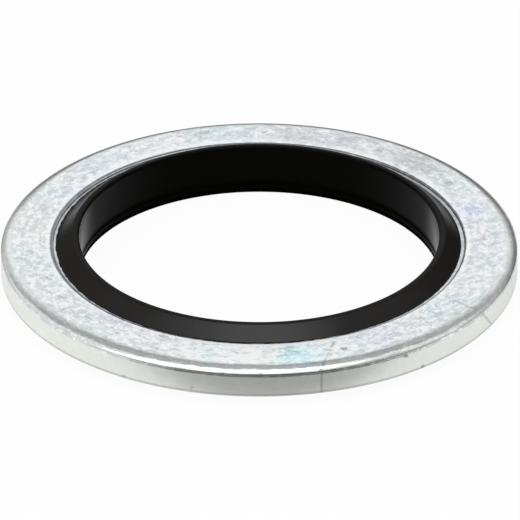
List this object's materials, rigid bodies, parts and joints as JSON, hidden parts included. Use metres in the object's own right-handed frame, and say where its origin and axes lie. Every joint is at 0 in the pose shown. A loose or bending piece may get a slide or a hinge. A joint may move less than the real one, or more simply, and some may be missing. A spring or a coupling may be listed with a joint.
{
  "type": "bonded sealing washer",
  "caption": "Flat zinc-plated steel ring with a black rubber seal bonded in its bore; its lips stand proud of both faces and seal under a bolt head or union.",
  "frame": {"origin": "centre of the bore, at the lowest point of the lower rubber lip, on which the washer lies", "axes": "+Z along the bore, up out of the face whose metal is rolled over at the rim and pressed down in a ledge by the rubber; the part is round, so X and Y are free"},
  "size_m": [0.024, 0.024, 0.0025],
  "materials": {
    "zinc_plate": "bright zinc plate over stamped steel, cloudy and finely flecked, light handling scratches",
    "nitrile_rubber": "black moulded nitrile rubber, satin"
  },
  "bodies": {
    "root": {"metal_ring": "zinc_plate", "rubber_seal": "nitrile_rubber"}
  },
  "joints": []
}
